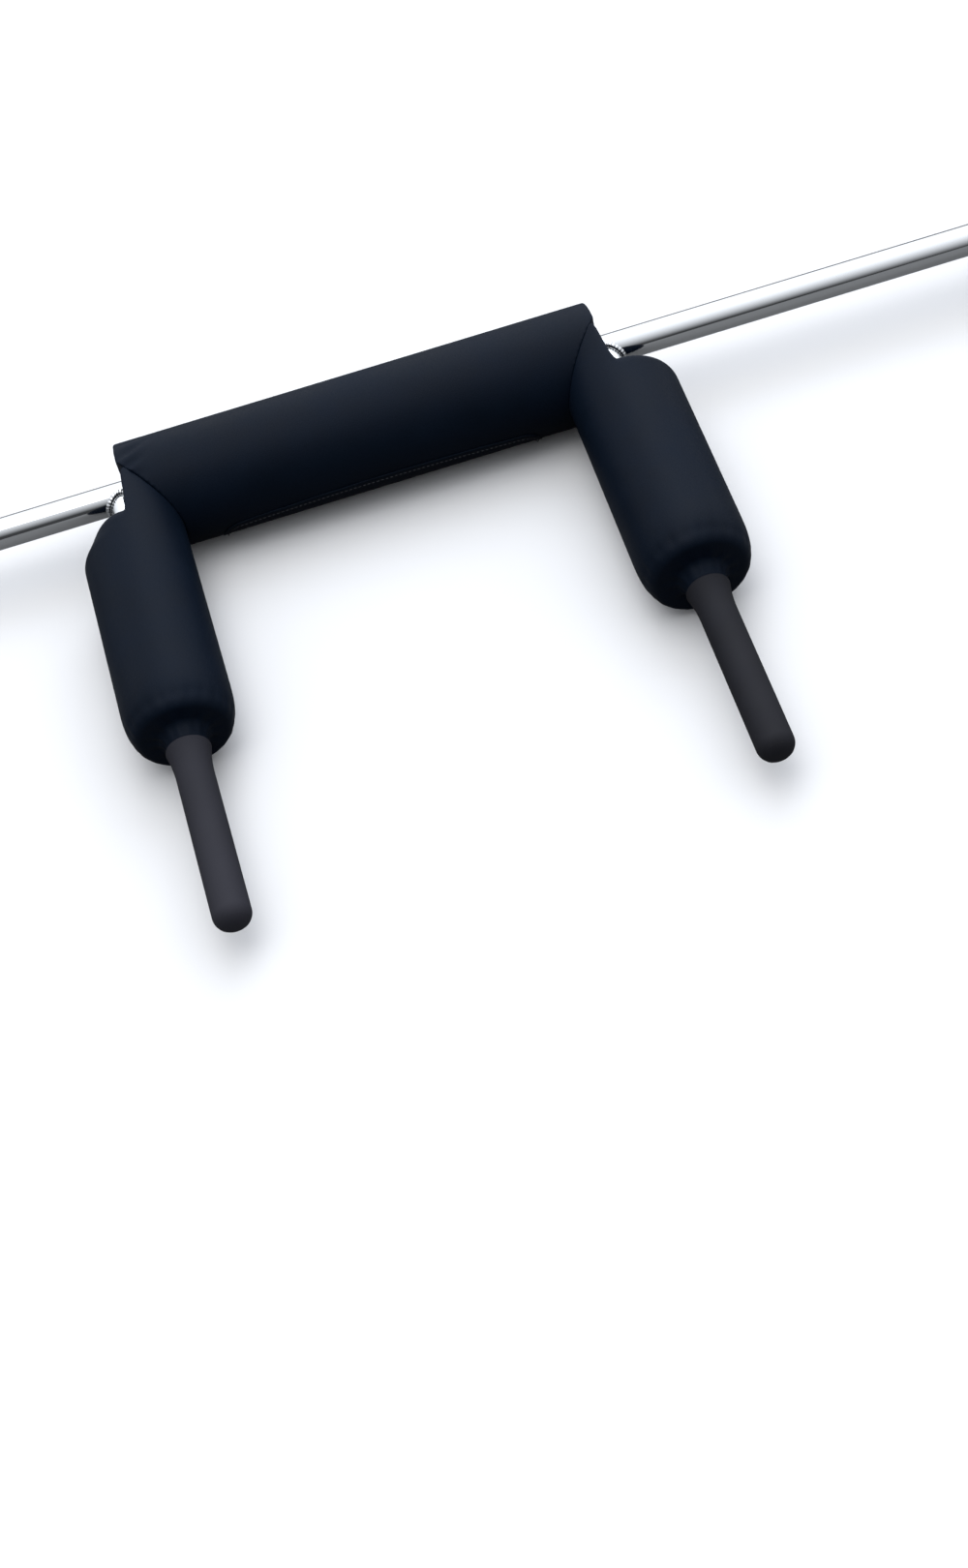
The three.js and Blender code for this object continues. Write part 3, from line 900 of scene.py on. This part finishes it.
def makeGrip(sideName, side, settings):
    radius, start, end = settings["radius"], settings["start"], settings["end"]
    lip, dome = settings["lip"], settings["dome"]
    mouth = radius + settings["flare"]
    flare = []
    for i in range(1, 13):
        share = i / 12
        wider = settings["flare"] * (1 - share) ** 2.2
        flare.append((start + lip + share * settings["flareLength"], radius + wider))
    domeAngles = [math.radians(90 * i / 14) for i in range(15)]
    outline = [(end - settings["tipWall"], 0), (end - settings["tipWall"], settings["bore"])]
    outline += [(start, settings["bore"]), *arc(start + lip, mouth - lip, lip, -90, 0)]
    outline += flare
    outline += evened([flare[-1], (end - dome, radius)], 12)[1:-1]
    outline += [(end - dome + dome * math.sin(a), radius * math.cos(a) ** 0.8) for a in domeAngles]
    bm = spun(outline, settings["around"], closed=False)
    # the left grip is drawn paler than the right; both grow paler towards the domed end, where hands wear
    # them
    sidePaleness = settings["sidePaleness"][sideName]
    setWearAndPaintedLight(bm, lambda co: sidePaleness * (0.7 + 0.3 * fade(end - co.x, 130)) + 0.1 * noise.noise(co * 0.03))
    finishPiece(bm, sideName + "_handle_grip", armPlace(side), rubber, [sideName + "_grip"])


for sideName, side in sides.items():
    makeGrip(sideName, side, gripSettings)
print("handles ready")


# Steel frame: the shaft, the two arm tubes with fishmouth ends, and their weld beads.

frameSettings = {
    "shaftRadius": 14,
    "journalRadius": 12.5,
    "journalStart": 659.2,
    "grooveDepth": 1.2,
    "grooveStart": 1084.65,
    "grooveWidth": 2.1,
    "edge": 0.8,
    "around": 128,
    "armWall": 2.5,
    "armEnd": 477,
    "beadRadius": 2.9,
    "beadOut": 1.0,
    "ripplePitch": 2.6,
    "rippleDepth": 0.11,
}


def makeShaft(settings):
    radius, journal, start = settings["shaftRadius"], settings["journalRadius"], settings["journalStart"]
    groove, width = settings["grooveStart"], settings["grooveWidth"]
    floor = journal - settings["grooveDepth"]
    half = [(start, radius), (start, journal), (groove, journal), (groove, floor)]
    half += [(groove + width, floor), (groove + width, journal), (shaftEnd, journal), (shaftEnd, 0)]
    outline = [(-distance, r) for distance, r in reversed(half)] + half
    bm = spun(outline, settings["around"], closed=False)
    bevelSharp(bm, settings["edge"])
    finishPiece(bm, "bar_shaft", barPlace, barChrome, ["shaft"])


def makeArm(sideName, side, settings):
    inner = armRadius - settings["armWall"]
    outline = evened([(6, armRadius), (settings["armEnd"], armRadius)], 40)
    outline += evened([(settings["armEnd"], inner), (6, inner)], 40)
    bm = spun(outline, settings["around"])
    clear = settings["shaftRadius"] + 0.1
    for vert in bm.verts:
        if vert.co.x < 7 * mm:
            vert.co.x = math.sqrt((clear * mm) ** 2 - vert.co.z ** 2)
    finishPiece(bm, sideName + "_arm_tube", armPlace(side), barChrome, [sideName + "_arm"])


def makeWeld(sideName, side, settings):
    curve = bpy.data.curves.new(sideName + "Bead", "CURVE")
    curve.dimensions = "3D"
    curve.bevel_depth = settings["beadRadius"] * mm
    curve.bevel_resolution = 4
    ring = armRadius + settings["beadOut"]
    count = 360
    ripples = round(2 * math.pi * ring / settings["ripplePitch"])
    spline = curve.splines.new("POLY")
    spline.points.add(count - 1)
    spline.use_cyclic_u = True
    for i, point in enumerate(spline.points):
        angle = 2 * math.pi * i / count
        y, z = ring * math.cos(angle), ring * math.sin(angle)
        x = math.sqrt(settings["shaftRadius"] ** 2 - (armRadius * math.sin(angle)) ** 2) + settings["beadOut"]
        point.co = (x * mm, y * mm, z * mm, 1)
        ripple = settings["rippleDepth"] * abs(math.sin(ripples * angle / 2))
        point.radius = 1 + ripple + 0.04 * math.sin(3 * angle)
    bead = bpy.data.objects.new(sideName + "Bead", curve)
    scene.collection.objects.link(bead)
    mesh = bpy.data.meshes.new_from_object(bead.evaluated_get(bpy.context.evaluated_depsgraph_get()))
    bpy.data.objects.remove(bead)
    bm = bmesh.new()
    bm.from_mesh(mesh)
    bmesh.ops.remove_doubles(bm, verts=bm.verts, dist=1e-6)
    bmesh.ops.recalc_face_normals(bm, faces=bm.faces)
    finishPiece(bm, sideName + "_weld_bead", armPlace(side), weldChrome, [sideName + "_weld"])


makeShaft(frameSettings)
for sideName, side in sides.items():
    makeArm(sideName, side, frameSettings)
    makeWeld(sideName, side, frameSettings)
print("steel frame ready")


# Rotating sleeves: outlines are for the right end, with distances from the bar's middle.

sleeveSettings = {
    "radius": 25,
    "bore": 17.65,
    "start": 664.5,
    "end": 1100,
    "edge": 1.0,
    "collarStart": 655,
    "collarEnd": 685,
    "collarRadius": 39,
    "collarBore": 25.06,
    "lipBore": 14.8,
    "lipWidth": 4,
    "collarEdge": 2.0,
    "capStart": 1093,
    "capEnd": 1098,
    "capGap": 0.05,
    "capRim": 3,
    "capDish": 1.6,
    "capEdge": 0.4,
    "around": 128,
}


def finishSleevePiece(bm, sideName, side, name, material, node):
    place = barPlace @ Matrix.Rotation(0 if side > 0 else math.pi, 4, "Z")
    finishPiece(bm, sideName + name, place, material, [sideName + node], sideName + "_sleeve_unit")


def makeSleeveTube(sideName, side, settings):
    start, end, radius, bore = settings["start"], settings["end"], settings["radius"], settings["bore"]
    bm = spun([(start, bore), (start, radius), (end, radius), (end, bore)], settings["around"])
    bevelSharp(bm, settings["edge"])
    finishSleevePiece(bm, sideName, side, "_sleeve_tube", sleeveChrome, "_sleeve")


def makeCollar(sideName, side, settings):
    start, end, wide = settings["collarStart"], settings["collarEnd"], settings["collarRadius"]
    bore, lipBore, lipEnd = settings["collarBore"], settings["lipBore"], start + settings["lipWidth"]
    outline = [(start, lipBore), (start, wide), (end, wide), (end, bore), (lipEnd, bore), (lipEnd, lipBore)]
    bm = spun(outline, settings["around"])
    bevelSharp(bm, settings["collarEdge"], 4)
    finishSleevePiece(bm, sideName, side, "_collar_ring", sleeveChrome, "_collar")


def makeEndPlug(sideName, side, settings):
    start, end, radius = settings["capStart"], settings["capEnd"], settings["bore"] - settings["capGap"]
    rim, dish = settings["capRim"], settings["capDish"]
    outline = [(start, 0), (start, radius), (end, radius), (end, radius - rim)]
    outline += [(end - dish, radius - rim - dish), (end - dish, 0)]
    bm = spun(outline, settings["around"], closed=False)
    bevelSharp(bm, settings["capEdge"], 2, 30)
    finishSleevePiece(bm, sideName, side, "_end_plug", polypropylene, "_end_cap")


for sideName, side in sides.items():
    makeSleeveTube(sideName, side, sleeveSettings)
    makeCollar(sideName, side, sleeveSettings)
    makeEndPlug(sideName, side, sleeveSettings)

# The bushings, washers and snap rings keep their CAD shapes.
for name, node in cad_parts.items():
    if not node.hide_render:
        node.data.materials.clear()
        node.data.materials.append(bronze if "bushing" in name else steel)
print("sleeves ready")
